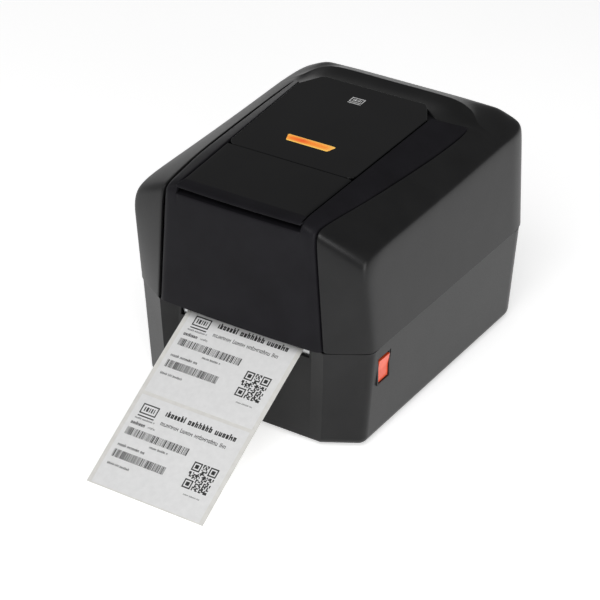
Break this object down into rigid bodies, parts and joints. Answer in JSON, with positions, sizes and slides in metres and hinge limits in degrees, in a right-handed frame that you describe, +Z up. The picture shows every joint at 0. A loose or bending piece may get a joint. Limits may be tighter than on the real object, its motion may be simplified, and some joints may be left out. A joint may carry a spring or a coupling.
{
  "type": "thermal label printer",
  "caption": "Desktop thermal-transfer label printer with a hinged cover, ribbon drive, roll bay and a printed label strip leaving its front slot.",
  "frame": {"origin": "middle of the whole object's footprint, label strip included, on the surface it stands on", "axes": "+X to the machine's right, +Y to its back, -Y the side where labels leave, +Z up"},
  "size_m": [0.218, 0.3951, 0.2076],
  "materials": {
    "case_black": "fine satin texture",
    "front_black": "fine satin texture",
    "window_black": "polished",
    "lens_orange": "translucent, lit from behind",
    "frame_grey": "moulded",
    "guide_green": "moulded",
    "gear_white": "moulded acetal",
    "roller_rubber": "ground",
    "foot_rubber": "moulded",
    "steel": "plain",
    "aluminium": "extruded",
    "brass": "turned",
    "motor_black": "black paint",
    "liner": "glazed paper",
    "label_white": "matte paper",
    "core_card": "wound card",
    "ribbon_black": "waxed film",
    "head_white": "glazed",
    "board_green": "solder mask",
    "chip_black": "moulded",
    "socket_metal": "plated",
    "rocker_orange": "polished"
  },
  "bodies": {
    "base": {"base_shell": "case_black", "rubber_feet": "foot_rubber", "case_screws": "steel", "hinge_pins": "steel", "media_chassis": "frame_grey", "catch_pins": "steel", "label_liner": "liner", "printed_labels": "label_white", "platen_bushings": "brass", "idler_stud": "steel", "gear_plate": "steel", "stepper_motor": "motor_black", "tear_bar": "steel", "pinion_studs": "steel", "sensor_rail": "steel", "main_board": "board_green", "board_components": "chip_black", "power_inlet": "chip_black", "data_ports": "socket_metal", "switch_case": "chip_black"},
    "cover": {"cover_shell": "case_black", "front_cover": "front_black", "window_panel": "window_black", "status_lens": "lens_orange", "ribbon_frame": "frame_grey", "frame_screws": "steel", "ribbon_film": "ribbon_black", "ribbon_motor": "socket_metal", "indicator_board": "board_green", "feed_switch": "board_green", "head_springs": "steel", "head_pivot_rod": "steel"},
    "feed_key": {"feed_key": "window_black"},
    "latch": {"latch_bar": "frame_grey"},
    "head": {"head_bracket": "steel", "print_head": "aluminium", "head_ceramic": "head_white"},
    "ribbon_supply": {"ribbon_supply_roll": "ribbon_black", "ribbon_supply_core": "core_card", "ribbon_supply_spindle": "gear_white"},
    "ribbon_takeup": {"ribbon_takeup_roll": "ribbon_black", "ribbon_takeup_core": "core_card", "ribbon_takeup_spindle": "gear_white", "takeup_gear": "gear_white"},
    "ribbon_motor_rotor": {"ribbon_pinion": "brass"},
    "media_roll": {"label_roll": "label_white", "roll_core": "core_card"},
    "platen": {"platen_roller": "roller_rubber", "platen_shaft": "steel", "platen_gear": "gear_white"},
    "idler": {"idler_gear": "gear_white"},
    "motor_rotor": {"motor_pinion": "brass"},
    "holder_right": {"roll_holder_right": "guide_green"},
    "holder_left": {"roll_holder_left": "guide_green"},
    "holder_centre": {"holder_pinion": "gear_white"},
    "guide_right": {"media_guide_right": "guide_green"},
    "guide_left": {"media_guide_left": "guide_green"},
    "guide_centre": {"guide_pinion": "gear_white"},
    "sensor": {"gap_sensor": "chip_black"},
    "rocker": {"power_rocker": "rocker_orange"}
  },
  "joints": [
    {"name": "cover_hinge", "type": "hinge", "parent": "base", "child": "cover", "pos_m": [0, 0.1915, 0.094], "axis": [-1, 0, 0], "range_deg": [0, 78]},
    {"name": "feed_key_press", "type": "hinge", "parent": "cover", "child": "feed_key", "pos_m": [0, 0.001, 0.1968], "axis": [1, 0, 0], "range_deg": [0, 1.5], "stiffness_Nm_per_rad": 0.6},
    {"name": "latch_pivot", "type": "hinge", "parent": "cover", "child": "latch", "pos_m": [0, -0.052, 0.125], "axis": [-1, 0, 0], "range_deg": [0, 7], "stiffness_Nm_per_rad": 0.3, "springref_deg": -5.73},
    {"name": "head_pivot", "type": "hinge", "parent": "cover", "child": "head", "pos_m": [0, -0.005, 0.104], "axis": [-1, 0, 0], "range_deg": [0, 2.5], "stiffness_Nm_per_rad": 8, "springref_deg": -2.86, "deforming": ["head_springs"]},
    {"name": "ribbon_supply_spin", "type": "hinge", "parent": "cover", "child": "ribbon_supply", "pos_m": [0, 0.022, 0.158], "axis": [1, 0, 0], "continuous": true},
    {"name": "ribbon_takeup_spin", "type": "hinge", "parent": "cover", "child": "ribbon_takeup", "pos_m": [0, -0.028, 0.162], "axis": [1, 0, 0], "continuous": true},
    {"name": "ribbon_motor_spin", "type": "hinge", "parent": "cover", "child": "ribbon_motor_rotor", "pos_m": [0, -0.028, 0.1412], "axis": [1, 0, 0], "continuous": true},
    {"name": "media_roll_spin", "type": "hinge", "parent": "base", "child": "media_roll", "pos_m": [0, 0.11, 0.08], "axis": [1, 0, 0], "continuous": true},
    {"name": "platen_spin", "type": "hinge", "parent": "base", "child": "platen", "pos_m": [0, -0.048, 0.078], "axis": [1, 0, 0], "continuous": true},
    {"name": "idler_spin", "type": "hinge", "parent": "base", "child": "idler", "pos_m": [0, -0.03815, 0.05094], "axis": [1, 0, 0], "continuous": true},
    {"name": "motor_spin", "type": "hinge", "parent": "base", "child": "motor_rotor", "pos_m": [0, -0.0164, 0.04079], "axis": [1, 0, 0], "continuous": true},
    {"name": "holder_right_slide", "type": "slide", "parent": "base", "child": "holder_right", "axis": [1, 0, 0], "range_m": [0, 0.008]},
    {"name": "holder_left_slide", "type": "slide", "parent": "base", "child": "holder_left", "axis": [-1, 0, 0], "range_m": [0, 0.008]},
    {"name": "holder_centre_spin", "type": "hinge", "parent": "base", "child": "holder_centre", "pos_m": [0, 0.11, 0.021], "axis": [0, 0, 1], "range_deg": [-66, 0]},
    {"name": "guide_right_slide", "type": "slide", "parent": "base", "child": "guide_right", "axis": [1, 0, 0], "range_m": [0, 0.012]},
    {"name": "guide_left_slide", "type": "slide", "parent": "base", "child": "guide_left", "axis": [-1, 0, 0], "range_m": [0, 0.012]},
    {"name": "guide_centre_spin", "type": "hinge", "parent": "base", "child": "guide_centre", "pos_m": [0, 0.002, 0.0809], "axis": [0, 0, 1], "range_deg": [-99, 0]},
    {"name": "gap_sensor_slide", "type": "slide", "parent": "base", "child": "sensor", "axis": [1, 0, 0], "range_m": [-0.04, 0.04]},
    {"name": "power_rocker_rock", "type": "hinge", "parent": "base", "child": "rocker", "pos_m": [0.099, -0.0285, 0.066], "axis": [0, 1, 0], "range_deg": [-12, 0]}
  ],
  "couplings": [
    {"joint": "ribbon_takeup_spin", "follows": "ribbon_supply_spin", "ratio": -1.25},
    {"joint": "ribbon_motor_spin", "follows": "ribbon_supply_spin", "ratio": 4.1667},
    {"joint": "platen_spin", "follows": "media_roll_spin", "ratio": 6.5},
    {"joint": "idler_spin", "follows": "media_roll_spin", "ratio": -4.1364},
    {"joint": "motor_spin", "follows": "media_roll_spin", "ratio": 11.375},
    {"joint": "holder_left_slide", "follows": "holder_right_slide", "ratio": 1},
    {"joint": "holder_centre_spin", "follows": "holder_right_slide", "rad_per_m": -142.86},
    {"joint": "guide_left_slide", "follows": "guide_right_slide", "ratio": 1},
    {"joint": "guide_centre_spin", "follows": "guide_right_slide", "rad_per_m": -142.86}
  ]
}
